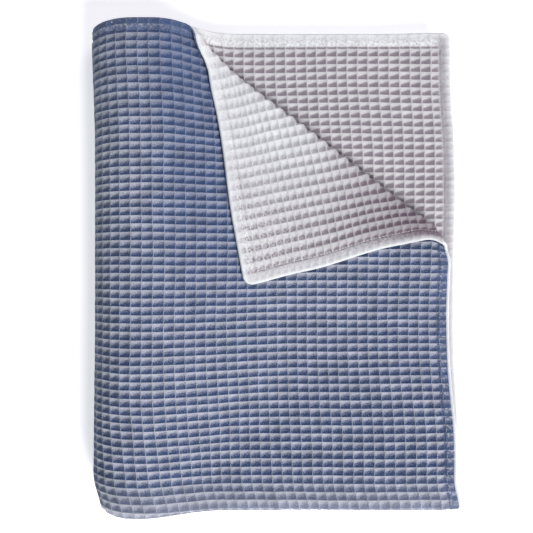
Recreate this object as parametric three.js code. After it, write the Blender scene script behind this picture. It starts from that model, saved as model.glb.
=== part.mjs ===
// A baby's waffle weave cotton blanket, folded in quarters, with one corner of its top layer turned back.
// A blue panel and a white panel are sewn edge to edge, and the blue one is outside in the folds.
// Millimetres, +Z up, lying on Z = 0. The folds are worked out in a frame of their own, with X = 0 and Y = 0
// near the middle of the blanket, and the panels are centred on the origin at the end.
import * as THREE from 'three';

// The cloth as it was cut. Across runs over the left-hand fold, and along runs over the front fold.
const blanketWidth = 762;
const blanketLength = 1004;
const cornerRadius = 10;
const cornerFacets = 4;
const panelThickness = 2;
const panelGap = 0.3;
const blueInset = 1.5; // how far the white panel's edge shows past the blue panel's

// How closely the layers lie.
const clothThickness = 2 * panelThickness + panelGap;
const restSpacing = 5.1; // between the middles of the two layers of a pair
const foldSlack = 2.3; // how far a layer's length in the side fold is taken from the pair's middle

// Where the folded blanket lies.
const backEdge = 248; // Y of the free edges at the back
const sideFoldAt = 371; // distance across the cloth from the lower layers' free edge to the side fold
const frontFoldAt = blanketLength / 2;
const sideFoldX = -174.2; // X of the side fold's outermost line, at the pair's middle
const sideFoldLean = { shift: 3.5, from: 120 }; // how far it leans outward, from this Y to the back edge
const frontEndPull = { shift: 8, from: -34, to: 6 }; // how far its front end is pulled in

// The front fold: a soft bulb that thins towards the back.
const bulbRadius = 8.8;
const tuckedBulbRadius = 4; // where the side fold presses it flat
const tuckedReach = { full: 20, none: 120 }; // distances from the side fold
const bulbLength = 185;
const slackReach = 110; // distance back from the front fold in which the layers' lengths come apart

// The side fold: a tight lower turn, a wide upper turn, a level crest, a shoulder, a slope and a turn back
// to level. Its slope steepens from the front to the back, and its front end is smaller.
const lowerTurnRadius = { front: 14.5, back: 19.3 };
const upperTurnRadius = { front: 42, back: 52.3 };
const turnSmaller = { from: -90, to: -230 }; // Y over which the turns get smaller
const turnJoin = THREE.MathUtils.degToRad(55); // the cloth's tilt where the two turns meet
const crestRun = { front: 8, back: 17 };
const shoulderRadius = { front: 60, back: 36 };
const slopeAngle = { front: 17, back: 43 }; // degrees
const levelRadius = { front: 160, back: 60 };
const slopeChange = { from: 40, to: 215 }; // Y over which the slope steepens
// How far the cloth is drawn out or in across, in the stretches of Y where each of these starts and is full.
const backStretch = { by: 8, from: -40 };
const frontShrink = { by: 10, from: 150, to: 255 };
const topStretch = { by: 0.8, front: [100, 200], back: [30, 100] }; // of the outer layer alone
const stretchReach = { none: 60, full: 420 }; // distances from the side fold
// How loosely the upper pair lies on the lower one, and the ripples and lifted back corner of its free part.
const looseness = { front: 1, middle: 3.5, back: 0.9, frontChange: [-200, -60], backChange: [60, 220] };
const freeReach = { none: 90, full: 200 };
const ripple = { height: 0.9, shift: 0.8 };
const liftedCorner = { height: 4.5, fromX: 110, toX: 200, fromY: 150 };
const backLift = { height: 2.8, width: 17, across: [440, 470] }; // the uncovered layer's back edge

// The corner turned back, as a line across the top layer.
const cornerLine = { across: 745.5, along: 786.5, angle: THREE.MathUtils.degToRad(39.3) };
const cornerRoll = 4.2;
const cornerSpacing = 5.4;
const cornerSettle = 45; // distance from the roll in which the flap comes down to its spacing
// The flap lies a little askew: its edge by the roll drifts off it, its tip sags and its side edge bows.
const flapDrift = { by: 11.5, starts: [505, 540], ends: [560, 700], reach: 70 };
const flapRise = { by: 7.8, starts: [935, 845], ends: [812, 765] };
const tipSag = { by: 2, range: [945, 995] };
const sideEdgeReach = 75;
// The free end of the diagonal fold stands up a little.
const foldEndLift = { by: 6.5, reach: 80 };

const clamp = (value) => Math.min(1, Math.max(0, value));
const ramp = (value, from, to) => {
  const share = clamp((value - from) / (to - from));
  return share * share * (3 - 2 * share);
};
const mix = (first, second, share) => first + (second - first) * share;

// Walks up from a fold's outermost point along arcs that turn right, or left where the turn is negative.
// The slack lengthens the arcs of an outer layer, and the offset stands off from the path on its outer side.
function walk(arcs, distance, offset, slack) {
  let x = 0;
  let z = 0;
  let heading = Math.PI / 2;
  let left = distance;
  for (const { radius, turn, run } of arcs) {
    if (run !== undefined) {
      const step = Math.min(run, left);
      x += step * Math.cos(heading);
      z += step * Math.sin(heading);
      left -= step;
      continue;
    }
    const side = Math.sign(turn);
    const length = Math.abs(turn) * (radius + side * slack);
    const share = Math.min(1, left / length);
    const centreX = x + side * radius * Math.sin(heading);
    const centreZ = z - side * radius * Math.cos(heading);
    heading -= turn * share;
    x = centreX - side * radius * Math.sin(heading);
    z = centreZ + side * radius * Math.cos(heading);
    left -= length * share;
  }
  x += left * Math.cos(heading);
  z += left * Math.sin(heading);
  return { x: x - offset * Math.sin(heading), z: z + offset * Math.cos(heading) };
}

// The outermost line of the front fold where it is full.
const frontFoldY = backEdge - frontFoldAt + (Math.PI / 2 - 1) * bulbRadius;

// Half the spacing of a pair's layers at a distance back from the front fold's outermost line.
function halfSpacing(fromFold, radius) {
  return mix(radius, restSpacing / 2, ramp(fromFold, radius, radius + bulbLength));
}

// The front fold: from a place along the cloth to Y, and to a distance out from the pair's middle.
function foldFront(across, along, height) {
  const tucked = 1 - ramp(Math.abs(across - sideFoldAt), tuckedReach.full, tuckedReach.none);
  const radius = mix(bulbRadius, tuckedBulbRadius, tucked);
  const quarter = (radius * Math.PI) / 2;
  const foldY = backEdge - (frontFoldAt - quarter) - radius;
  const beyond = along - frontFoldAt;
  const side = beyond < 0 ? -1 : 1;
  const distance = Math.abs(beyond);
  if (distance < quarter) {
    const angle = distance / radius;
    return {
      y: foldY + radius - (radius + height) * Math.cos(angle),
      out: side * (radius + height) * Math.sin(angle),
    };
  }
  const fromFold = radius + distance - quarter;
  return { y: foldY + fromFold, out: side * (halfSpacing(fromFold, radius) + height) };
}

// The side fold: from a place across the cloth, its Y and its distance from the pair's middle to X and Z.
function foldSide(across, y, out, slackSide) {
  const fromFront = y - frontFoldY;
  const spread = halfSpacing(Math.max(fromFront, bulbRadius), bulbRadius);
  const lowerMiddle = spread + clothThickness / 2;
  const frontLoose = mix(looseness.front, looseness.middle, ramp(y, ...looseness.frontChange));
  const loose = mix(frontLoose, looseness.back, ramp(y, ...looseness.backChange));
  const upperMiddle = lowerMiddle + 2 * spread + clothThickness + loose;

  const steepness = ramp(y, slopeChange.from, slopeChange.to);
  const smallness = ramp(-y, -turnSmaller.from, -turnSmaller.to);
  const slope = THREE.MathUtils.degToRad(mix(slopeAngle.front, slopeAngle.back, steepness));
  const lowerRadius = mix(lowerTurnRadius.back, lowerTurnRadius.front, smallness);
  const upperRadius = mix(upperTurnRadius.back, upperTurnRadius.front, smallness);
  const shoulder = mix(shoulderRadius.front, shoulderRadius.back, steepness);
  const levelling = mix(levelRadius.front, levelRadius.back, steepness);
  const crest = lowerMiddle + lowerRadius * (1 + Math.cos(turnJoin)) + upperRadius * (1 - Math.cos(turnJoin));
  const roundDrop = (shoulder + levelling) * (1 - Math.cos(slope));
  const slopeRun = Math.max(0, (crest - upperMiddle - roundDrop) / Math.sin(slope));

  const foldX = sideFoldX - sideFoldLean.shift * ramp(y, sideFoldLean.from, backEdge)
    + frontEndPull.shift * ramp(-fromFront, frontEndPull.from, frontEndPull.to);
  const slack = slackSide * foldSlack * ramp(fromFront, 0, slackReach);
  const distance = across - sideFoldAt;
  if (distance < 0) {
    const lower = walk([{ radius: lowerRadius, turn: Math.PI / 2 }], -distance, out, slack);
    return { x: foldX + lower.x, z: lowerMiddle + lowerRadius - lower.z };
  }
  const upper = walk(
    [
      { radius: lowerRadius, turn: Math.PI / 2 - turnJoin },
      { radius: upperRadius, turn: turnJoin },
      { run: mix(crestRun.front, crestRun.back, steepness) },
      { radius: shoulder, turn: slope },
      { run: slopeRun },
      { radius: levelling, turn: -slope },
    ],
    distance, out, slack);
  let stretch = backStretch.by * ramp(y, backStretch.from, backEdge)
    - frontShrink.by * ramp(-y, frontShrink.from, frontShrink.to);
  if (slackSide > 0) {
    stretch += topStretch.by * (1 - ramp(-y, ...topStretch.front)) * (1 - ramp(y, ...topStretch.back));
  }
  const x = foldX + upper.x + stretch * ramp(distance, stretchReach.none, stretchReach.full);
  return { x, z: lowerMiddle + lowerRadius + upper.z };
}

// The unevenness of the upper pair, which lies on the lower one and never sinks below it.
function unevenness(across, x, y) {
  const free = ramp(across - sideFoldAt, freeReach.none, freeReach.full);
  const atCorner = ramp(x, liftedCorner.fromX, liftedCorner.toX) * ramp(y, liftedCorner.fromY, backEdge);
  const waves = 1 + Math.sin(x / 31 + y / 87) * Math.sin(y / 43 - x / 140 + ripple.shift);
  return free * (liftedCorner.height * atCorner + ripple.height * waves);
}

// How far the flap's cloth has shifted from where a true fold would lay it.
function shiftFlap(across, along) {
  const besideRoll = ramp(across, ...flapDrift.starts) * (1 - ramp(across, ...flapDrift.ends));
  const fromBackEdge = blanketLength - along;
  const rise = flapRise.by * ramp(-along, -flapRise.starts[0], -flapRise.starts[1])
    * (1 - ramp(-along, -flapRise.ends[0], -flapRise.ends[1]));
  const nearSideEdge = 1 - ramp(blanketWidth - across, 0, sideEdgeReach);
  return {
    across: flapDrift.by * besideRoll * (1 - ramp(fromBackEdge, 0, flapDrift.reach)),
    along: (rise - tipSag.by * ramp(along, ...tipSag.range)) * nearSideEdge,
  };
}

// The corner turned back over the top layer: a half roll, then the flap that comes down on the cloth.
function turnCorner(across, along, height) {
  const normalAcross = Math.sin(cornerLine.angle);
  const normalAlong = Math.cos(cornerLine.angle);
  const beyond = (across - cornerLine.across) * normalAcross + (along - cornerLine.along) * normalAlong;
  if (beyond <= 0) return { across, along, height };
  const roll = cornerRoll * Math.PI;
  let reach;
  let lifted;
  if (beyond < roll) {
    const angle = beyond / cornerRoll;
    reach = (cornerRoll - height) * Math.sin(angle);
    lifted = cornerRoll - (cornerRoll - height) * Math.cos(angle);
  } else {
    reach = roll - beyond;
    lifted = mix(2 * cornerRoll, cornerSpacing, ramp(beyond - roll, 0, cornerSettle)) - height;
  }
  const shift = shiftFlap(across, along);
  const turned = ramp(beyond, 0, 30);
  return {
    across: across + (reach - beyond) * normalAcross + shift.across * turned,
    along: along + (reach - beyond) * normalAlong + shift.along * turned,
    height: lifted,
  };
}

// Where the diagonal fold meets the cloth's free side edge, before it is turned.
const foldEnd = new THREE.Vector2(
  blanketWidth,
  cornerLine.along - (blanketWidth - cornerLine.across) * Math.tan(cornerLine.angle)
    + (cornerRoll * Math.PI) / 2 / Math.cos(cornerLine.angle));

// A point of the cloth, at a height above its middle towards the blue side, in its folded place.
function foldedPoint(across, along, height) {
  const turned = turnCorner(across, along, height);
  const front = foldFront(turned.across, turned.along, turned.height);
  const { x, z } = foldSide(turned.across, front.y, front.out, turned.along < frontFoldAt ? -1 : 1);
  const fromEnd = foldEnd.distanceTo(new THREE.Vector2(turned.across, turned.along));
  const lift = along > frontFoldAt
    ? foldEndLift.by * (1 - ramp(fromEnd, 0, foldEndLift.reach))
    : backLift.height * (1 - ramp(along, 0, backLift.width)) * ramp(across, ...backLift.across);
  return new THREE.Vector3(x, front.y, z + unevenness(turned.across, x, front.y) + lift);
}

const tiny = 1e-6;

// Cuts a convex outline by the line where across * a + along * b = c, into its two sides.
function cutOutline(points, a, b, c) {
  const near = [];
  const far = [];
  points.forEach((point, index) => {
    const next = points[(index + 1) % points.length];
    const here = a * point.x + b * point.y - c;
    const there = a * next.x + b * next.y - c;
    if (here <= tiny) near.push(point);
    if (here >= -tiny) far.push(point);
    if ((here > tiny && there < -tiny) || (here < -tiny && there > tiny)) {
      const cut = point.clone().lerp(next, here / (here - there));
      near.push(cut);
      far.push(cut);
    }
  });
  return [near, far].filter((outline) => outline.length > 2);
}

// Distances at which the cloth is divided, so that each fold is round and each flat stretch is left plain.
function stations(from, to, count) {
  return Array.from({ length: count + 1 }, (_, index) => mix(from, to, index / count));
}
const quarterBulb = (bulbRadius * Math.PI) / 2;
const acrossStations = [
  230,
  ...stations(340, 405, 6),
  ...stations(416, 496, 7),
  ...stations(518, 620, 4),
  690,
];
const alongStations = [40, 95, 160, 230, 295]
  .concat(stations(345, frontFoldAt - quarterBulb, 5))
  .map((along) => [along, blanketLength - along])
  .flat()
  .concat(stations(frontFoldAt - quarterBulb, frontFoldAt + quarterBulb, 8).slice(1, -1));
const cornerStations = stations(0, cornerRoll * Math.PI, 6).concat([
  cornerRoll * Math.PI + cornerSettle / 2, cornerRoll * Math.PI + cornerSettle]);

// The flat panel's rounded outline, as straight cuts round its corners, divided at the stations.
function dividePanel(inset) {
  const halfWidth = blanketWidth / 2 - inset;
  const halfLength = blanketLength / 2 - inset;
  const radius = cornerRadius - inset;
  const middle = new THREE.Vector2(blanketWidth / 2, blanketLength / 2);
  const outline = [];
  for (const [signX, signY, startAngle] of [[1, 1, 0], [-1, 1, 90], [-1, -1, 180], [1, -1, 270]]) {
    for (let facet = 0; facet <= cornerFacets; facet += 1) {
      const angle = THREE.MathUtils.degToRad(startAngle + (90 * facet) / cornerFacets);
      outline.push(new THREE.Vector2(
        middle.x + signX * (halfWidth - radius) + radius * Math.cos(angle),
        middle.y + signY * (halfLength - radius) + radius * Math.sin(angle)));
    }
  }
  let cells = [outline];
  const cutAll = (a, b, c) => {
    cells = cells.flatMap((cell) => cutOutline(cell, a, b, c));
  };
  acrossStations.forEach((across) => cutAll(1, 0, across));
  alongStations.forEach((along) => cutAll(0, 1, along));
  const a = Math.sin(cornerLine.angle);
  const b = Math.cos(cornerLine.angle);
  const lineAt = a * cornerLine.across + b * cornerLine.along;
  cornerStations.forEach((beyond) => cutAll(a, b, lineAt + beyond));
  return cells;
}

// A panel as one closed sheet between two heights above the cloth's middle.
function makePanel(name, color, inset, bottom, top) {
  const cells = dividePanel(inset);
  const places = [];
  const placeOf = new Map();
  const numberOf = (point) => {
    const key = `${point.x.toFixed(4)} ${point.y.toFixed(4)}`;
    if (!placeOf.has(key)) {
      placeOf.set(key, places.length);
      places.push(point);
    }
    return placeOf.get(key);
  };
  const triangles = [];
  const edges = new Map();
  for (const cell of cells) {
    const numbers = cell.map(numberOf);
    const corners = numbers.filter((corner, index) => corner !== numbers[(index + 1) % numbers.length]);
    corners.forEach((corner, index) => {
      const next = corners[(index + 1) % corners.length];
      if (!edges.delete(`${next} ${corner}`)) edges.set(`${corner} ${next}`, [corner, next]);
    });
    const first = corners.indexOf(Math.min(...corners));
    const ordered = corners.slice(first).concat(corners.slice(0, first));
    for (let index = 1; index < ordered.length - 1; index += 1) {
      triangles.push([ordered[0], ordered[index], ordered[index + 1]]);
    }
  }
  const layer = places.length;
  const pointsAt = (height) => places.map((place) => foldedPoint(place.x, place.y, height));
  const points = [...pointsAt(top), ...pointsAt(bottom)];
  const faces = [];
  for (const [a, b, c] of triangles) {
    faces.push([a, b, c], [layer + c, layer + b, layer + a]);
  }
  for (const [a, b] of edges.values()) {
    faces.push([b, a, layer + a], [b, layer + a, layer + b]);
  }
  const geometry = new THREE.BufferGeometry().setFromPoints(points);
  geometry.setIndex(faces.flat());
  geometry.computeVertexNormals();
  const material = new THREE.MeshStandardMaterial({ color, roughness: 0.9, metalness: 0 });
  const mesh = new THREE.Mesh(geometry, material);
  mesh.name = name;
  return mesh;
}

const blanket = new THREE.Group();
blanket.add(makePanel('blue_panel', 0x6c7fa3, blueInset, panelGap / 2, panelGap / 2 + panelThickness));
blanket.add(makePanel('white_panel', 0xe6e0de, 0, -panelGap / 2 - panelThickness, -panelGap / 2));

// The origin goes under the middle of the folded blanket's box.
const middle = new THREE.Box3().setFromObject(blanket).getCenter(new THREE.Vector3());
blanket.children.forEach((panel) => panel.geometry.translate(-middle.x, -middle.y, 0));

export default blanket;
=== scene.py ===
import math

import bmesh
import bpy
from mathutils import Matrix, Vector, noise


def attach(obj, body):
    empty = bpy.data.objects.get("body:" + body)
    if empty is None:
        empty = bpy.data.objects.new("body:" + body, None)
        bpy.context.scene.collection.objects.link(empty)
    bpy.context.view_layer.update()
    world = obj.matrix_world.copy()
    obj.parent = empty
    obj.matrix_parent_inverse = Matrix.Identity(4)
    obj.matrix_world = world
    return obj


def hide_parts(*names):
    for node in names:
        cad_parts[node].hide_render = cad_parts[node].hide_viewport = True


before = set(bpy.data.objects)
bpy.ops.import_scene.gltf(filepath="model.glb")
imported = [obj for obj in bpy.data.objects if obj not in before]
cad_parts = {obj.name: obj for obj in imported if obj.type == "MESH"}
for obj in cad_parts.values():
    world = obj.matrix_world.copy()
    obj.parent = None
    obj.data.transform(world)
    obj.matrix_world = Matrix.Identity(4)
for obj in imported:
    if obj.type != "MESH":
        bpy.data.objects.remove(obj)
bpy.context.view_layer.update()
print("frame loaded")

# The cut cloth in metres. Across runs over the side fold, along runs over the front fold.
cloth = {
    "width": 0.762, "length": 1.004, "columns": 71, "rows": 122, "cornerRadius": 0.010,
    "panel": 0.002, "gap": 0.0003, "spacing": 0.0051, "foldSlack": 0.0023,
}
thickness = 2 * cloth["panel"] + cloth["gap"]
frontFoldAt = cloth["length"] / 2
cellWidth = cloth["width"] / cloth["columns"]
cellLength = cloth["length"] / cloth["rows"]

# How the blanket is folded: the same soft folds as its solids have.
folds = {
    "backEdge": 0.248, "sideFoldAt": 0.371, "sideFoldX": -0.1742,
    "bulb": 0.0088, "tuckedBulb": 0.004, "bulbLength": 0.185,
    "lowerTurn": (0.0145, 0.0193), "upperTurn": (0.042, 0.0523), "turnSmaller": (0.090, 0.230),
    "turnJoin": math.radians(55), "crestRun": (0.008, 0.017), "shoulder": (0.060, 0.036),
    "slope": (17, 43), "levelling": (0.160, 0.060), "slopeChange": (0.040, 0.215),
    "tuckedReach": (0.020, 0.120), "looseness": (0.001, 0.0035, 0.0009),
    "looserAt": (-0.200, -0.060), "tighterAt": (0.060, 0.220), "slackRun": 0.110,
    "frontPull": 0.008, "frontPullAt": (-0.034, 0.006), "backSpread": 0.0035, "backSpreadFrom": 0.120,
    "stretchRun": (0.060, 0.420), "backStretch": 0.008, "backStretchFrom": -0.040,
    "frontShrink": 0.010, "frontShrinkAt": (0.150, 0.255),
    "topStretch": 0.0008, "topStretchEnds": ((0.100, 0.200), (0.030, 0.100)),
}
corner = {
    "across": 0.7455, "along": 0.7865, "angle": math.radians(39.3),
    "roll": 0.0042, "spacing": 0.0054, "settle": 0.045,
    "turnRun": 0.030, "drift": 0.0115, "driftFrom": (0.505, 0.540), "driftTo": (0.560, 0.700),
    "driftRun": 0.070,
    "tipSag": 0.0020, "sagFrom": (0.945, 0.995),
    "edgeRise": 0.0078, "riseFrom": (-0.935, -0.845), "riseTo": (-0.812, -0.765), "riseRun": 0.075,
    "endPull": 0.0058, "endReach": 0.023, "pullAcross": 0.76, "pullAlong": 0.65,
    "endLift": 0.0065, "liftReach": 0.080,
}
uneven = {
    "freeFrom": (0.090, 0.200), "lift": 0.0045, "liftAcross": (0.110, 0.200), "liftFrom": 0.150,
    "ripple": 0.0009, "waveX": (0.031, 0.140), "waveY": (0.087, 0.043), "waveShift": 0.8,
}


def ramp(value, low, high):
    share = min(1.0, max(0.0, (value - low) / (high - low)))
    return share * share * (3 - 2 * share)


def mix(first, second, share):
    return first + (second - first) * share


def walk(arcs, distance, offset, slack):
    # from a fold's outermost point, up and round to the right along (radius, turn) arcs;
    # a turn of 0 is a straight run
    x = z = 0.0
    heading = math.pi / 2
    left = distance
    for radius, turn in arcs:
        if turn == 0:
            step = min(radius, left)
            x += step * math.cos(heading)
            z += step * math.sin(heading)
            left -= step
            continue
        side = 1 if turn > 0 else -1
        arcLength = abs(turn) * (radius + side * slack)
        share = min(1.0, left / arcLength)
        middleX = x + side * radius * math.sin(heading)
        middleZ = z - side * radius * math.cos(heading)
        heading -= turn * share
        x = middleX - side * radius * math.sin(heading)
        z = middleZ + side * radius * math.cos(heading)
        left -= arcLength * share
        if share < 1:
            break
    x += left * math.cos(heading)
    z += left * math.sin(heading)
    return x - offset * math.sin(heading), z + offset * math.cos(heading)


frontFoldY = folds["backEdge"] - frontFoldAt + (math.pi / 2 - 1) * folds["bulb"]


def halfSpacing(fromFold, radius):
    return mix(radius, cloth["spacing"] / 2, ramp(fromFold, radius, radius + folds["bulbLength"]))


def foldFront(across, along, height):
    tucked = 1 - ramp(abs(across - folds["sideFoldAt"]), *folds["tuckedReach"])
    radius = mix(folds["bulb"], folds["tuckedBulb"], tucked)
    quarter = radius * math.pi / 2
    foldY = folds["backEdge"] - (frontFoldAt - quarter) - radius
    beyond = along - frontFoldAt
    side = -1 if beyond < 0 else 1
    distance = abs(beyond)
    if distance < quarter:
        angle = distance / radius
        reach = radius + height
        return foldY + radius - reach * math.cos(angle), side * reach * math.sin(angle)
    fromFold = radius + distance - quarter
    return foldY + fromFold, side * (halfSpacing(fromFold, radius) + height)


def foldSide(across, y, out, slackSide):
    fromFront = y - frontFoldY
    spread = halfSpacing(max(fromFront, folds["bulb"]), folds["bulb"])
    lowerMiddle = spread + thickness / 2
    frontLoose, middleLoose, backLoose = folds["looseness"]
    looseness = mix(mix(frontLoose, middleLoose, ramp(y, *folds["looserAt"])), backLoose,
                    ramp(y, *folds["tighterAt"]))
    upperMiddle = lowerMiddle + 2 * spread + thickness + looseness
    steepness = ramp(y, *folds["slopeChange"])
    smallness = ramp(-y, *folds["turnSmaller"])
    slope = math.radians(mix(*folds["slope"], steepness))
    lowerRadius = mix(folds["lowerTurn"][1], folds["lowerTurn"][0], smallness)
    upperRadius = mix(folds["upperTurn"][1], folds["upperTurn"][0], smallness)
    shoulder = mix(*folds["shoulder"], steepness)
    levelling = mix(*folds["levelling"], steepness)
    join = folds["turnJoin"]
    crest = lowerMiddle + lowerRadius * (1 + math.cos(join)) + upperRadius * (1 - math.cos(join))
    roundDrop = (shoulder + levelling) * (1 - math.cos(slope))
    slopeRun = max(0.0, (crest - upperMiddle - roundDrop) / math.sin(slope))
    cornerPull = folds["frontPull"] * ramp(-fromFront, *folds["frontPullAt"])
    spreadOut = folds["backSpread"] * ramp(y, folds["backSpreadFrom"], folds["backEdge"])
    foldX = folds["sideFoldX"] - spreadOut + cornerPull
    slack = slackSide * cloth["foldSlack"] * ramp(fromFront, 0, folds["slackRun"])
    distance = across - folds["sideFoldAt"]
    if distance < 0:
        x, z = walk([(lowerRadius, math.pi / 2)], -distance, out, slack)
        return foldX + x, lowerMiddle + lowerRadius - z
    arcs = [
        (lowerRadius, math.pi / 2 - join), (upperRadius, join), (mix(*folds["crestRun"], steepness), 0),
        (shoulder, slope), (slopeRun, 0), (levelling, -slope),
    ]
    x, z = walk(arcs, distance, out, slack)
    reach = ramp(distance, *folds["stretchRun"])
    x += folds["backStretch"] * ramp(y, folds["backStretchFrom"], folds["backEdge"]) * reach
    x -= folds["frontShrink"] * ramp(-y, *folds["frontShrinkAt"]) * reach
    if slackSide > 0:
        towardsFront, towardsBack = folds["topStretchEnds"]
        x += folds["topStretch"] * reach * (1 - ramp(-y, *towardsFront)) * (1 - ramp(y, *towardsBack))
    return foldX + x, lowerMiddle + lowerRadius + z


def unevenness(across, x, y):
    # the free back corner lifts a little, and the cloth away from the side fold ripples
    free = ramp(across - folds["sideFoldAt"], *uneven["freeFrom"])
    lift = uneven["lift"] * ramp(x, *uneven["liftAcross"]) * ramp(y, uneven["liftFrom"], folds["backEdge"])
    (firstX, secondX), (firstY, secondY) = uneven["waveX"], uneven["waveY"]
    waves = math.sin(x / firstX + y / firstY) * math.sin(y / secondY - x / secondX + uneven["waveShift"])
    return free * (lift + uneven["ripple"] * (1 + waves))


def cornerDrift(across, along, turned):
    # the turned corner lies a little askew, and its two free edges bow
    fromBackEdge = cloth["length"] - along
    fromSideEdge = cloth["width"] - across
    besideRoll = ramp(across, *corner["driftFrom"]) * (1 - ramp(across, *corner["driftTo"]))
    driftAcross = corner["drift"] * besideRoll * (1 - ramp(fromBackEdge, 0, corner["driftRun"]))
    rise = corner["edgeRise"] * ramp(-along, *corner["riseFrom"]) * (1 - ramp(-along, *corner["riseTo"]))
    sag = corner["tipSag"] * ramp(along, *corner["sagFrom"])
    driftAlong = (rise - sag) * (1 - ramp(fromSideEdge, 0, corner["riseRun"]))
    return driftAcross * turned, driftAlong * turned


def turnCorner(across, along, height):
    normalAcross = math.sin(corner["angle"])
    normalAlong = math.cos(corner["angle"])
    beyond = (across - corner["across"]) * normalAcross + (along - corner["along"]) * normalAlong
    if beyond <= 0:
        return across, along, height
    roll = corner["roll"] * math.pi
    if beyond < roll:
        angle = beyond / corner["roll"]
        reach = (corner["roll"] - height) * math.sin(angle)
        lifted = corner["roll"] - (corner["roll"] - height) * math.cos(angle)
    else:
        reach = roll - beyond
        settled = ramp(beyond - roll, 0, corner["settle"])
        lifted = mix(2 * corner["roll"], corner["spacing"], settled) - height
    driftAcross, driftAlong = cornerDrift(across, along, ramp(beyond, 0, corner["turnRun"]))
    return (across + (reach - beyond) * normalAcross + driftAcross,
            along + (reach - beyond) * normalAlong + driftAlong, lifted)


# The folds are worked out in their own frame, whose middle is carried to the frame's origin.
foldMiddle = Vector((0.009895, -0.002482, 0))

# The uncovered layer's back edge stands up a little.
backLift = {"height": 0.0028, "width": 0.017, "from": (0.440, 0.470)}

# Where the diagonal fold meets the cloth's free side edge, before it is turned.
foldEnd = (cloth["width"],
           corner["along"] - (cloth["width"] - corner["across"]) * math.tan(corner["angle"])
           + corner["roll"] * math.pi / 2 / math.cos(corner["angle"]))


def foldedPoint(across, along, height):
    turnedAcross, turnedAlong, turnedHeight = turnCorner(across, along, height)
    pull = corner["endPull"] * (1 - ramp(math.dist((across, along), foldEnd), 0, corner["endReach"]))
    turnedAcross -= corner["pullAcross"] * pull
    turnedAlong -= corner["pullAlong"] * pull
    y, out = foldFront(turnedAcross, turnedAlong, turnedHeight)
    x, z = foldSide(turnedAcross, y, out, -1 if turnedAlong < frontFoldAt else 1)
    z += unevenness(turnedAcross, x, y)
    if along > frontFoldAt:
        fromEnd = math.dist((turnedAcross, turnedAlong), foldEnd)
        z += corner["endLift"] * (1 - ramp(fromEnd, 0, corner["liftReach"]))
    else:
        z += backLift["height"] * (1 - ramp(along, 0, backLift["width"])) * ramp(across, *backLift["from"])
    return Vector((x, y, z)) - foldMiddle


# The waffle cells, the hem and the stitch line inside the edge.
weave = {
    "floor": 0.00020, "sharpness": 1.25, "squareness": 6,
    "acrossPhases": (0, 0.08, 0.5, 0.92), "alongPhases": (0, 0.10, 0.5, 0.90), "coarsePhases": (0, 0.5),
    "unevenDepth": 0.14, "patch": (0.011, 0.009), "pressedTo": 0.66,
    "stitchLine": 0.013, "hemFade": 0.003, "hemPress": 0.62, "pressFade": (-0.001, 0.002),
    "groove": 0.0009, "grooveHalf": 0.0016, "grooveFlat": 0.0002, "grooveShare": 0.9,
    "pucker": 0.0005, "puckerPitch": 0.0047, "puckerSlant": 0.55, "lumpSize": 0.0034,
    "edgeBlend": (0.0012, 0.0034), "ringStep": 0.0006,
    "edgeStations": (0, 0.0006, 0.0016, 0.0030),
    "hemStations": (0.0078, 0.0104, 0.0121, 0.0130, 0.0139, 0.0155),
    "cellsFrom": 0.0170, "uvMargin": 0.008, "uvSpan": 1.020,
}
threadWander = {
    "seed": 5, "slowPitch": 9, "quickPitch": 45, "slow": (0.0016, 0.0013), "quick": (0.0005, 0.0004),
    "edgeRoom": 0.030,
}
noise.seed_set(threadWander["seed"])  # without it the threads would wander differently each run
blueOverRoll = {"reach": 0.0024, "endsAt": (0.500, 0.560)}


def roundCorner(across, along):
    # carries the square corner of a grid onto the cloth's rounded corner
    middleX = cloth["width"] / 2
    middleY = cloth["length"] / 2
    dx = abs(across - middleX) - (middleX - cloth["cornerRadius"])
    dy = abs(along - middleY) - (middleY - cloth["cornerRadius"])
    if dx <= 0 or dy <= 0:
        return across, along
    span = min(1.0, max(dx, dy) / math.hypot(dx, dy))
    return (across - math.copysign(dx * (1 - span), across - middleX),
            along - math.copysign(dy * (1 - span), along - middleY))


def edgeInward(across, along):
    # the direction from a point at the cloth's edge to its inside
    dx = across - cloth["width"] / 2
    dy = along - cloth["length"] / 2
    overX = max(0.0, abs(dx) - (cloth["width"] / 2 - cloth["cornerRadius"]))
    overY = max(0.0, abs(dy) - (cloth["length"] / 2 - cloth["cornerRadius"]))
    size = max(1e-6, math.hypot(overX, overY))
    return -math.copysign(overX / size, dx), -math.copysign(overY / size, dy)


def edgeDistance(across, along):
    dx = cloth["width"] / 2 - abs(across - cloth["width"] / 2)
    dy = cloth["length"] / 2 - abs(along - cloth["length"] / 2)
    radius = cloth["cornerRadius"]
    if dx < radius and dy < radius:
        return radius - math.hypot(radius - dx, radius - dy)
    return min(dx, dy)


def profileHeight(profile, place):
    if place >= profile[-1][0]:
        return profile[-1][1]
    for (low, lowHeight), (high, highHeight) in zip(profile, profile[1:]):
        if place < high:
            return mix(lowHeight, highHeight, max(0.0, (place - low) / (high - low)))
    return profile[-1][1]


def cellHeight(across, along):
    a = abs(2 * (across / cellWidth % 1) - 1)
    b = abs(2 * (along / cellLength % 1) - 1)
    power = weave["squareness"]
    wall = min(1.0, (a ** power + b ** power) ** (1 / power))
    return wall ** weave["sharpness"]


def pressedAmount(across, along, settings):
    # how far the cells are pressed flat, in the hem and where the cloth is pulled
    fadeFrom, fadeTo = weave["pressFade"]
    hem = 1 - ramp(edgeDistance(across, along), weave["stitchLine"] + fadeFrom, weave["stitchLine"] + fadeTo)
    return max(weave["hemPress"] * hem, settings["pulled"](across, along))


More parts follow.
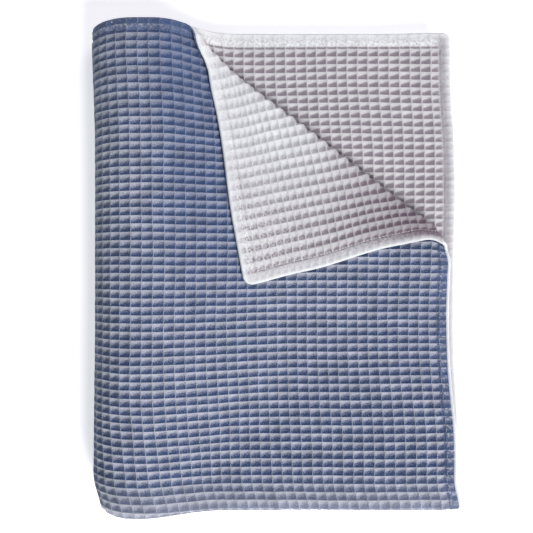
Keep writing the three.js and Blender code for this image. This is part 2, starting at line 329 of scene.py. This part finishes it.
def reliefHeight(across, along, settings):
    # height of the outer face above the panel's back
    fromEdge = edgeDistance(across, along)
    patchAcross, patchAlong = weave["patch"]
    patch = Vector((across / patchAcross, along / patchAlong, 4.0))
    depth = settings["depthAt"](across, along) * (1 + weave["unevenDepth"] * noise.noise(patch))
    hem = 1 - ramp(fromEdge, weave["stitchLine"], weave["stitchLine"] + weave["hemFade"])
    amount = 1 - pressedAmount(across, along, settings)
    lumps = noise.noise(Vector((across / weave["lumpSize"], along / weave["lumpSize"], 9.0)))
    slantedAlong = along + weave["puckerSlant"] * across
    slanted = math.sin(slantedAlong * math.tau / weave["puckerPitch"] + 3 * lumps)
    pucker = hem * weave["pucker"] * (lumps + 0.5 * slanted)
    raised = weave["floor"] + depth * mix(weave["pressedTo"], cellHeight(across, along), amount) + pucker
    groove = 1 - ramp(abs(fromEdge - weave["stitchLine"]), weave["grooveFlat"], weave["grooveHalf"])
    raised = mix(raised, weave["groove"], weave["grooveShare"] * groove)
    blendFrom, blendTo = weave["edgeBlend"]
    inside = ramp(fromEdge, settings["inset"] + blendFrom, settings["inset"] + blendTo)
    return mix(profileHeight(settings["edgeProfile"], fromEdge - settings["inset"]), raised, inside)


def wander(across, along):
    # the cloth's threads are never quite straight
    slowPitch, quickPitch = threadWander["slowPitch"], threadWander["quickPitch"]
    slow = noise.noise_vector(Vector((across * slowPitch, along * slowPitch, 1.7)))
    quick = noise.noise_vector(Vector((across * quickPitch, along * quickPitch, 7.1)))
    room = ramp(edgeDistance(across, along), 0, threadWander["edgeRoom"])
    (slowAcross, slowAlong), (quickAcross, quickAlong) = threadWander["slow"], threadWander["quick"]
    return (room * (slowAcross * slow.x + quickAcross * quick.x),
            room * (slowAlong * slow.y + quickAlong * quick.y))


def overRoll(across, along):
    # over the roll's back end the blue rolls past the white, by this much
    share = ramp(along, cloth["length"] - weave["stitchLine"], cloth["length"])
    return blueOverRoll["reach"] * (1 - ramp(across, *blueOverRoll["endsAt"])) * share


def weaveStations(length, cell, inset, isFine, finePhases):
    # one station at each wanted phase of each cell, and closer ones at the edge and the stitch line
    near = [inset + place for place in weave["edgeStations"]] + list(weave["hemStations"])
    places = near + [length - place for place in near]
    for number in range(round(length / cell) + 1):
        phases = finePhases if isFine(number * cell) else weave["coarsePhases"]
        for phase in phases:
            place = (number + phase) * cell
            if weave["cellsFrom"] < place < length - weave["cellsFrom"]:
                places.append(place)
    return sorted(places)


def shadeSmooth(mesh):
    mesh.polygons.foreach_set("use_smooth", [True] * len(mesh.polygons))


def finishMesh(bm, name, material):
    mesh = bpy.data.meshes.new(name)
    bm.to_mesh(mesh)
    bm.free()
    shadeSmooth(mesh)
    mesh.materials.append(material)
    piece = bpy.data.objects.new(name, mesh)
    bpy.context.scene.collection.objects.link(piece)
    return piece


def makePanel(name, settings, material):
    bm = bmesh.new()
    inset = settings["inset"]
    acrossAt = weaveStations(cloth["width"], cellWidth, inset,
                             settings["fineAcross"], weave["acrossPhases"])
    alongAt = weaveStations(cloth["length"], cellLength, inset,
                            settings["fineAlong"], weave["alongPhases"])
    columns = len(acrossAt) - 1
    rows = len(alongAt) - 1
    bmesh.ops.create_grid(bm, x_segments=columns, y_segments=rows, size=1)
    flat = bm.verts.layers.float_vector.new("flat")
    press = bm.verts.layers.float.new("press")
    tone = bm.verts.layers.float_vector.new("tone")
    side = settings["side"]
    for vert in bm.verts:
        column = round((vert.co.x + 1) / 2 * columns)
        row = round((vert.co.y + 1) / 2 * rows)
        across, along = roundCorner(acrossAt[column], alongAt[row])
        vert[flat] = (across, along, 0)
        vert[press] = pressedAmount(across, along, settings)
        vert[tone] = settings["tone"](across, along)
        height = side * (cloth["gap"] / 2 + reliefHeight(across, along, settings))
        moveAcross, moveAlong = wander(across, along)
        moveAlong += side * overRoll(across, along)
        vert.co = foldedPoint(across + moveAcross, along + moveAlong, height)
    # the cut edge is turned in, ring by ring
    turned = 0
    ringStep = weave["ringStep"]
    for inward, height in settings["turnedEdge"]:
        turned += ringStep
        edges = [edge for edge in bm.edges if edge.is_boundary]
        made = bmesh.ops.extrude_edge_only(bm, edges=edges)
        for vert in [item for item in made["geom"] if isinstance(item, bmesh.types.BMVert)]:
            across, along, _ = vert[flat]
            inwardX, inwardY = edgeInward(across, along)
            startX = across + inwardX * (turned - ringStep)
            startY = along + inwardY * (turned - ringStep)
            moved = side * overRoll(startX, startY)
            vert.co = foldedPoint(startX + inwardX * inward, startY + inwardY * inward + moved, height)
            vert[flat] = (across - inwardX * ringStep, along - inwardY * ringStep, 0)
    if side < 0:
        bmesh.ops.reverse_faces(bm, faces=bm.faces[:])
    uvMap = bm.loops.layers.uv.new("OFBake")
    for face in bm.faces:
        for loop in face.loops:
            across, along, _ = loop.vert[flat]
            loop[uvMap].uv = ((across + weave["uvMargin"]) / weave["uvSpan"],
                              (along + weave["uvMargin"]) / weave["uvSpan"])
    return finishMesh(bm, name, material)


topstitch = {
    "pitch": 0.0033, "length": 0.0026, "width": 0.0006, "lift": 0.00045, "cornerGap": 0.004,
    "roughness": 0.7, "blue": (0.16, 0.20, 0.33), "white": (0.78, 0.76, 0.76),
}


def stitchPlaces():
    # middles and directions of the stitches, round the whole cloth
    inset = weave["stitchLine"]
    start = inset + topstitch["cornerGap"]
    places = []
    for isAcross, length, other in ((True, cloth["width"], cloth["length"]),
                                    (False, cloth["length"], cloth["width"])):
        run = length - 2 * start
        number = round(run / topstitch["pitch"])
        for step in range(number + 1):
            place = start + run * step / number
            for end in (inset, other - inset):
                places.append(((place, end), (1, 0)) if isAcross else ((end, place), (0, 1)))
    return places


def makeTopstitch(name, side, material):
    one = bmesh.new()
    bmesh.ops.create_uvsphere(one, u_segments=4, v_segments=5, radius=0.5)
    stitch = bpy.data.meshes.new(name + "One")
    one.to_mesh(stitch)
    one.free()
    places = stitchPlaces()
    bm = bmesh.new()
    for _ in places:
        bm.from_mesh(stitch)
    size = len(stitch.vertices)
    for number, vert in enumerate(bm.verts):
        (middleX, middleY), (directionX, directionY) = places[number // size]
        run = vert.co.z * topstitch["length"]
        across = middleX + directionX * run - directionY * vert.co.x * topstitch["width"]
        along = middleY + directionY * run + directionX * vert.co.x * topstitch["width"]
        height = weave["groove"] + topstitch["lift"] + vert.co.y * topstitch["width"]
        moveAcross, moveAlong = wander(across, along)
        moveAlong += side * overRoll(across, along)
        vert.co = foldedPoint(across + moveAcross, along + moveAlong, side * height)
    bmesh.ops.recalc_face_normals(bm, faces=bm.faces[:])
    bpy.data.meshes.remove(stitch)
    return finishMesh(bm, name, material)


def link(tree, source, output, target, socket):
    tree.links.new(source.outputs[output], target.inputs[socket])


def mathNode(tree, operation, *values):
    node = tree.nodes.new("ShaderNodeMath")
    node.operation = operation
    for number, value in enumerate(values):
        if isinstance(value, (int, float)):
            node.inputs[number].default_value = value
        else:
            tree.links.new(value, node.inputs[number])
    return node.outputs[0]


def rampNode(tree, value, low, high, first=0, last=1, kind="SMOOTHSTEP"):
    node = tree.nodes.new("ShaderNodeMapRange")
    node.interpolation_type = kind
    for name, number in (("From Min", low), ("From Max", high), ("To Min", first), ("To Max", last)):
        node.inputs[name].default_value = number
    tree.links.new(value, node.inputs["Value"])
    return node.outputs["Result"]


# The cotton's pattern inside a cell: painted light and shade on its walls and pits, random mottle and
# blotches, and fine relief. A phase runs from 0 to 1 through a cell, and a wave is 0 in its middle and 1 at
# its edges. A noise is its scale, detail and roughness.
cotton = {
    "clumps": (740, 3, 0.5), "fuzz": (1050, 2, 0.6), "broad": (60, 2, 0.5), "scramble": (400, 3, 0.5),
    # the pit keys shape the white's painted pit shade, the column and wall keys the blue's painted highlight
    "turnedFrom": (0.60, 0.64), "pitSlant": (0.34, 0.12), "pitRound": 0.14,
    "pitStart": (0.40, 0.66), "pitEnd": (0.91, 0.98), "pitSides": (0.62, 0.92), "pressedPit": (1.5, 0.3),
    "columnRidgeHighlight": (0.90, 0.985), "columnHighlightLevel": 0.8, "highlightSlant": 0.28, "wall": (0.0, 0.82),
    "blotches": (0.25, 0.75, -0.5, 0.5), "strokes": (0.46, 0.58, 1.3, 0),
    "fuzzMottle": 0.6, "broadMottle": 0.4, "mottleRange": (0.35, 0.65),
    "wallRelief": (0.9, 0.1), "clumpRelief": 1.25, "fuzzRelief": 0.6, "threadRelief": 0.12,
    "threadPitch": (0.00107, 0.00103), "puckerRelief": (0.6, 2.6), "reliefUnit": 0.001,
    "roughness": 0.92, "sheenRoughness": 0.5, "specular": 0.15,
}


def makeWeaveGroup():
    group = bpy.data.node_groups.new("waffleCotton", "ShaderNodeTree")
    for name in ("Map", "Tone"):
        group.interface.new_socket(name, in_out="INPUT", socket_type="NodeSocketVector")
    for name in ("Press", "Lean", "Blotch"):
        group.interface.new_socket(name, in_out="INPUT", socket_type="NodeSocketFloat")
    for name in ("LitShare", "Worn", "Mottle", "Relief"):
        group.interface.new_socket(name, in_out="OUTPUT", socket_type="NodeSocketFloat")
    enter = group.nodes.new("NodeGroupInput")
    leave = group.nodes.new("NodeGroupOutput")
    split = group.nodes.new("ShaderNodeSeparateXYZ")
    link(group, enter, "Map", split, 0)
    toneSplit = group.nodes.new("ShaderNodeSeparateXYZ")
    link(group, enter, "Tone", toneSplit, 0)
    lowTone, highTone, wornTone = toneSplit.outputs
    press = enter.outputs["Press"]

    def add(first, second):
        return mathNode(group, "ADD", first, second)

    def subtract(first, second):
        return mathNode(group, "SUBTRACT", first, second)

    def times(first, second):
        return mathNode(group, "MULTIPLY", first, second)

    def between(value, first, last):
        # runs evenly from first to last as the value goes from 0 to 1
        return rampNode(group, value, 0, 1, first, last, "LINEAR")

    def phase(output, pitch):
        scaled = mathNode(group, "MULTIPLY_ADD", split.outputs[output],
                          weave["uvSpan"] / pitch, -weave["uvMargin"] / pitch)
        return mathNode(group, "FRACT", scaled)

    def wave(part):
        return mathNode(group, "ABSOLUTE", mathNode(group, "MULTIPLY_ADD", part, 2, -1))

    def noiseNode(scale, detail, roughness):
        node = group.nodes.new("ShaderNodeTexNoise")
        node.inputs["Scale"].default_value = scale
        node.inputs["Detail"].default_value = detail
        node.inputs["Roughness"].default_value = roughness
        link(group, enter, "Map", node, "Vector")
        return node.outputs["Fac"]

    def choose(first, second, share):
        node = group.nodes.new("ShaderNodeMix")
        for socket, value in (("Factor", share), ("A", first), ("B", second)):
            group.links.new(value, node.inputs[socket])
        return node.outputs["Result"]

    clumps = noiseNode(*cotton["clumps"])
    fuzz = noiseNode(*cotton["fuzz"])
    broad = noiseNode(*cotton["broad"])
    scramble = noiseNode(*cotton["scramble"])
    rowPhase = phase("Y", cellLength)
    columnPhase = phase("X", cellWidth)
    columnWave = wave(columnPhase)
    rowWave = wave(rowPhase)

    # on the white side the lower part of each cell gets a slanted patch of painted shade, which the pressed
    # cells lose; on the turned corner the cells lie sideways
    turned = rampNode(group, split.outputs["Y"], *cotton["turnedFrom"])
    down = choose(rowPhase, columnPhase, turned)
    aside = mathNode(group, "POWER", choose(columnWave, rowWave, turned), 2)
    right = choose(columnPhase, subtract(1, rowPhase), turned)
    slant = times(right, between(turned, *cotton["pitSlant"]))
    arch = add(subtract(down, times(aside, cotton["pitRound"])), slant)
    pitShade = times(rampNode(group, arch, *cotton["pitStart"]), rampNode(group, down, *cotton["pitEnd"], 1, 0))
    pitShade = times(pitShade, rampNode(group, aside, *cotton["pitSides"], 1, 0))
    plain = times(press, between(turned, *cotton["pressedPit"]))
    plain.node.use_clamp = True
    unshadedShare = subtract(1, times(pitShade, subtract(1, plain)))

    # on the blue side a painted highlight runs down the wall behind each row's ridge, the wall that faces
    # the key light, and along the thin column ridges; the rest of each cell keeps the painted shade
    columnRidgeHighlight = rampNode(group, columnWave, *cotton["columnRidgeHighlight"], 0, cotton["columnHighlightLevel"])
    wall = rampNode(group, subtract(rowPhase, times(columnPhase, cotton["highlightSlant"])), *cotton["wall"])
    wall = mathNode(group, "MAXIMUM", wall, columnRidgeHighlight)
    blotches = times(rampNode(group, clumps, *cotton["blotches"], "LINEAR"), enter.outputs["Blotch"])
    lightAndBlotches = add(choose(unshadedShare, wall, enter.outputs["Lean"]), blotches)
    lightAndBlotches.node.use_clamp = True
    # the painted light share of each cell, between the tone's pit and ridge levels, with random blotches
    litTone = add(times(lightAndBlotches, subtract(highTone, lowTone)), lowTone)
    litTone.node.use_clamp = True
    worn = times(rampNode(group, scramble, *cotton["strokes"]), wornTone)
    mottle = mathNode(group, "MULTIPLY_ADD", fuzz, cotton["fuzzMottle"], times(broad, cotton["broadMottle"]))

    # millimetres of fine relief: steeper walls, loose floats, the threads and the hem's puckers
    threadWidth, threadHeight = cotton["threadPitch"]
    threads = times(wave(phase("X", threadWidth)), wave(phase("Y", threadHeight)))
    relief = times(mathNode(group, "MAXIMUM", columnWave, rowWave), between(press, *cotton["wallRelief"]))
    for part, amount in ((clumps, "clumpRelief"), (fuzz, "fuzzRelief"), (threads, "threadRelief")):
        relief = add(relief, times(part, cotton[amount]))
    puckers = times(scramble, times(press, between(enter.outputs["Lean"], *cotton["puckerRelief"])))
    relief = add(relief, puckers)
    for name, value in (("LitShare", litTone), ("Worn", worn), ("Mottle", mottle), ("Relief", relief)):
        group.links.new(value, leave.inputs[name])
    return group


weaveGroup = makeWeaveGroup()


def cottonMaterial(name, settings):
    material = bpy.data.materials.new(name)
    material.use_nodes = True
    tree = material.node_tree
    shader = tree.nodes["Principled BSDF"]
    shader.inputs["Roughness"].default_value = cotton["roughness"]
    shader.inputs["Sheen Weight"].default_value = settings["sheen"]
    shader.inputs["Sheen Roughness"].default_value = cotton["sheenRoughness"]
    shader.inputs["Specular IOR Level"].default_value = cotton["specular"]

    def colourMix(blend):
        node = tree.nodes.new("ShaderNodeMix")
        node.data_type = "RGBA"
        node.blend_type = blend
        return node

    uvMap = tree.nodes.new("ShaderNodeUVMap")
    uvMap.uv_map = "OFBake"
    group = tree.nodes.new("ShaderNodeGroup")
    group.node_tree = weaveGroup
    group.inputs["Lean"].default_value = settings["lean"]
    group.inputs["Blotch"].default_value = settings["blotch"]
    link(tree, uvMap, "UV", group, "Map")
    for attribute, output, socket in (("press", "Fac", "Press"), ("tone", "Vector", "Tone")):
        node = tree.nodes.new("ShaderNodeAttribute")
        node.attribute_name = attribute
        link(tree, node, output, group, socket)
    # the base colour runs from the shaded tone to the lit tone by the painted light share
    base = colourMix("MIX")
    base.inputs["A"].default_value = (*settings["shadedTone"], 1)
    base.inputs["B"].default_value = (*settings["litTone"], 1)
    link(tree, group, "LitShare", base, "Factor")
    worn = colourMix("MIX")
    link(tree, group, "Worn", worn, "Factor")
    link(tree, base, "Result", worn, "A")
    worn.inputs["B"].default_value = (*settings["pressed"], 1)
    tint = colourMix("MULTIPLY")
    tint.inputs["Factor"].default_value = 1
    shade = rampNode(tree, group.outputs["Mottle"], *cotton["mottleRange"],
                     1 - settings["mottle"], 1 + settings["mottle"])
    link(tree, worn, "Result", tint, "A")
    tree.links.new(shade, tint.inputs["B"])
    link(tree, tint, "Result", shader, "Base Color")
    bump = tree.nodes.new("ShaderNodeBump")
    bump.inputs["Strength"].default_value = settings["bump"]
    bump.inputs["Distance"].default_value = cotton["reliefUnit"]
    link(tree, group, "Relief", bump, "Height")
    link(tree, bump, "Normal", shader, "Normal")
    return material


# blue: the shaded tone is the navy yarn darkened as painted shade, and the lit tone is a painted highlight
blueCotton = cottonMaterial("blueCotton", {
    "shadedTone": (0.045, 0.086, 0.200), "litTone": (0.445, 0.458, 0.515), "pressed": (0.085, 0.125, 0.235),
    "lean": 1.0, "blotch": 0.8, "sheen": 0.2, "mottle": 0.24, "bump": 1.0,
})
# white: the shaded tone is a mauve painted shade in each cell's pit
whiteCotton = cottonMaterial("whiteCotton", {
    "shadedTone": (0.180, 0.125, 0.165), "litTone": (0.90, 0.93, 0.92), "pressed": (0.82, 0.845, 0.835),
    "lean": 0.0, "blotch": 0.35, "sheen": 0.15, "mottle": 0.08, "bump": 0.9,
})


def plainMaterial(name, colour, roughness):
    material = bpy.data.materials.new(name)
    material.use_nodes = True
    shader = material.node_tree.nodes["Principled BSDF"]
    shader.inputs["Base Color"].default_value = (*colour, 1)
    shader.inputs["Roughness"].default_value = roughness
    return material


# The blue panel shows on the whole front, and the white one at the turned corner and under it.
# A panel's tone is how pale its pits are and how pale its ridges are, which paints light and shade onto it,
# and how worn it is.
# Painted light and shade by place on the blue panel.
blueShade = {
    "foldHighlight": 0.40, "foldHighlightFrom": (0.400, 0.480), "foldHighlightTo": (0.510, 0.545),
    "slopeShadeFrom": (0.425, 0.485), "slopeShadeTo": (0.545, 0.575), "slopeShadeAlong": (0.640, 0.880),
    "sideShadeAcross": (0.640, 0.740), "sideShadeAlong": (0.580, 0.700), "backShadeAlong": (0.850, 0.970),
    "high": 0.98, "side": 0.10, "slope": 0.42, "back": 0.20, "slopeShadePits": 0.10,
}


def blueTone(across, along):
    # painted light and shade: a painted highlight along the front fold; painted shade by the side edge, down
    # the roll's right slope and at the roll's back end
    shade = blueShade
    foldHighlight = shade["foldHighlight"] * (1 - ramp(along, *shade["foldHighlightTo"])) * ramp(along, *shade["foldHighlightFrom"])
    slope = ramp(across, *shade["slopeShadeFrom"]) * (1 - ramp(across, *shade["slopeShadeTo"]))
    slope *= ramp(along, *shade["slopeShadeAlong"])
    sideShade = ramp(across, *shade["sideShadeAcross"]) * ramp(along, *shade["sideShadeAlong"])
    high = shade["high"] - shade["side"] * sideShade - shade["slope"] * slope
    high -= shade["back"] * ramp(along, *shade["backShadeAlong"])
    return foldHighlight - shade["slopeShadePits"] * slope, high, pressedAmount(across, along, bluePanelSettings)


bluePanelSettings = {
    "side": 1, "inset": 0.0026, "hiddenDepth": 0.0020, "depth": 0.0027,
    "fineAcross": lambda place: place > 0.335,
    "fineAlong": lambda place: place > 0.490,
    "depthAt": lambda across, along: mix(bluePanelSettings["hiddenDepth"], bluePanelSettings["depth"],
                                         ramp(along, 0.480, 0.500)),
    "pulled": lambda across, along: 0.0, "tone": blueTone,
    "edgeProfile": [(0, 0.0005), (0.0008, 0.0014), (0.0020, 0.0019), (0.0034, 0.0019)],
    "turnedEdge": [(0.0, 0.0002), (0.0030, 0.0002)],
}

whiteShows = {
    "across": (0.440, 0.460), "uncoveredTo": (0.235, 0.255), "turnedFrom": (0.760, 0.780),
    "pull": 0.35, "pullFrom": (0.860, 0.990),
}
# Painted light and shade by place on the white panel's cells.
whiteShade = {
    "share": (0.700, 0.740), "fromRoll": (-0.930, -0.800),
    "lower": (0.600, 0.740), "lowerHem": (0.744, 0.752),
    "uncoveredLow": 0.20, "uncoveredHigh": 0.61, "uncoveredHem": 0.26,
    "cornerLow": (0.60, 0.0), "lowerLow": 0.48,
    "cornerHigh": (0.82, 0.49), "lowerHigh": 0.24, "hemHigh": 0.22,
    "uncoveredWorn": 0.85, "cornerWorn": 0.9, "hemWorn": 0.7, "rim": 0.92, "rimWidth": (0.0024, 0.0044),
}


def whiteDepth(across, along):
    # deepest where the panel shows
    shown = ramp(across, *whiteShows["across"])
    uncovered = shown * (1 - ramp(along, *whiteShows["uncoveredTo"]))
    turned = shown * ramp(along, *whiteShows["turnedFrom"])
    return whitePanelSettings["hiddenDepth"] + whitePanelSettings["shownMore"] * max(uncovered, turned)


def whitePulled(across, along):
    # the turned corner is pulled flatter towards the roll
    return whiteShows["pull"] * ramp(across, *whiteShows["across"]) * ramp(along, *whiteShows["pullFrom"])


def whiteTone(across, along):
    # painted light and shade: the turned corner is painted palest towards the roll, and its cells get the
    # darkest painted shade towards the fold's free end and its lower rows; the rim keeps no painted shade
    shade = whiteShade
    share = ramp(along, *shade["share"])
    fromRoll = ramp(-along, *shade["fromRoll"])
    lower = ramp(across, *shade["lower"])
    lowerHem = ramp(across, *shade["lowerHem"])
    cornerLow = mix(*shade["cornerLow"], fromRoll) - shade["lowerLow"] * lower * (1 - fromRoll)
    low = mix(shade["uncoveredLow"], cornerLow, share)
    cornerHigh = mix(*shade["cornerHigh"], fromRoll) - shade["lowerHigh"] * lower
    cornerHigh -= shade["hemHigh"] * lowerHem * fromRoll
    high = mix(shade["uncoveredHigh"] - shade["uncoveredHem"] * lowerHem, cornerHigh, share)
    worn = pressedAmount(across, along, whitePanelSettings)
    worn *= mix(1 - shade["uncoveredWorn"] * lowerHem,
                1 - shade["cornerWorn"] * max(fromRoll, shade["hemWorn"] * lowerHem), share)
    rim = 1 - ramp(edgeDistance(across, along), *shade["rimWidth"])
    return mix(low, shade["rim"], rim), mix(high, shade["rim"], rim), worn * (1 - rim)


whitePanelSettings = {
    "side": -1, "inset": 0.0, "hiddenDepth": 0.0020, "shownMore": 0.0007,
    "fineAcross": lambda place: place > 0.440,
    "fineAlong": lambda place: place < 0.245 or place > 0.760,
    "depthAt": whiteDepth, "pulled": whitePulled, "tone": whiteTone,
    "edgeProfile": [(0, 0.0002), (0.0007, 0.0016), (0.0018, 0.0020), (0.0034, 0.0014)],
    "turnedEdge": [(0.0, 0.0006), (0.0006, 0.0014), (0.0016, 0.0017), (0.0028, 0.0012), (0.0042, 0.0004)],
}
bluePanel = makePanel("bluePanel", bluePanelSettings, blueCotton)
print("blue panel made:", len(bluePanel.data.polygons), "faces")
whitePanel = makePanel("whitePanel", whitePanelSettings, whiteCotton)
print("white panel made:", len(whitePanel.data.polygons), "faces")
blueThread = plainMaterial("blueThread", topstitch["blue"], topstitch["roughness"])
whiteThread = plainMaterial("whiteThread", topstitch["white"], topstitch["roughness"])
blueTopstitch = makeTopstitch("blueTopstitch", 1, blueThread)
whiteTopstitch = makeTopstitch("whiteTopstitch", -1, whiteThread)
print("topstitch made:", len(blueTopstitch.data.polygons), "faces a side")

for piece, slotName in ((bluePanel, "blue_waffle"), (whitePanel, "white_waffle"),
                        (blueTopstitch, "blue_waffle"), (whiteTopstitch, "white_waffle")):
    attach(piece, "root")
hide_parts("blue_panel")
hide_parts("white_panel")

# Stage: a pale floor, a low key light from the front right, weak fills from the left and the back right,
# and the camera straight above.
stage = {
    "floorSize": 6.0, "floorDrop": 0.0005, "floorColour": (0.9, 0.9, 0.9), "floorRoughness": 0.9,
    "floorGlow": 0.50, "glowColour": (1, 1, 1, 1),
    "cameraHeight": 0.650, "lens": 36 * 594 / 533, "sensorWidth": 36,
    "keyAzimuth": -58, "keyElevation": 36, "keyDistance": 3.5, "keySize": 1.5, "keyPower": 137,
    "fillAzimuth": 168, "fillElevation": 40, "fillDistance": 2.0, "fillSize": 1.2, "fillPower": 6,
    "backAzimuth": 52, "backElevation": 38, "backDistance": 2.0, "backSize": 1.2, "backPower": 13,
    "keyColour": (1, 1, 1), "fillColour": (0.72, 0.93, 1.0), "backColour": (0.98, 0.90, 1.0),
    "worldStrength": 0.16, "worldColour": (0.96, 0.89, 1.05, 1),
}
bm = bmesh.new()
bmesh.ops.create_grid(bm, x_segments=1, y_segments=1, size=stage["floorSize"] / 2,
                      matrix=Matrix.Translation((0, 0, -stage["floorDrop"])))
floorMaterial = plainMaterial("paleFloor", stage["floorColour"], stage["floorRoughness"])
floorShader = floorMaterial.node_tree.nodes["Principled BSDF"]
floorShader.inputs["Emission Color"].default_value = stage["glowColour"]
floorShader.inputs["Emission Strength"].default_value = stage["floorGlow"]
floor = finishMesh(bm, "floor", floorMaterial)


def makeLight(name):
    lightData = bpy.data.lights.new(name + "Light", "AREA")
    lightData.shape = "DISK"
    lightData.size = stage[name + "Size"]
    lightData.energy = stage[name + "Power"]
    lightData.color = stage[name + "Colour"]
    azimuth = math.radians(stage[name + "Azimuth"])
    elevation = math.radians(stage[name + "Elevation"])
    direction = Vector((math.cos(elevation) * math.cos(azimuth),
                        math.cos(elevation) * math.sin(azimuth), math.sin(elevation)))
    light = bpy.data.objects.new(name + "Light", lightData)
    light.location = direction * stage[name + "Distance"]
    light.rotation_euler = direction.to_track_quat("Z", "Y").to_euler()
    bpy.context.scene.collection.objects.link(light)


for lightName in ("key", "fill", "back"):
    makeLight(lightName)

world = bpy.data.worlds.new("studio")
world.use_nodes = True
background = world.node_tree.nodes["Background"]
background.inputs["Color"].default_value = stage["worldColour"]
background.inputs["Strength"].default_value = stage["worldStrength"]
bpy.context.scene.world = world
bpy.context.scene.view_settings.view_transform = "Standard"

cameraData = bpy.data.cameras.new("camera")
cameraData.lens = stage["lens"]
cameraData.sensor_width = stage["sensorWidth"]
camera = bpy.data.objects.new("camera", cameraData)
camera.location = Vector((0, 0, stage["cameraHeight"])) - foldMiddle
bpy.context.scene.collection.objects.link(camera)
bpy.context.scene.camera = camera
print("stage set")
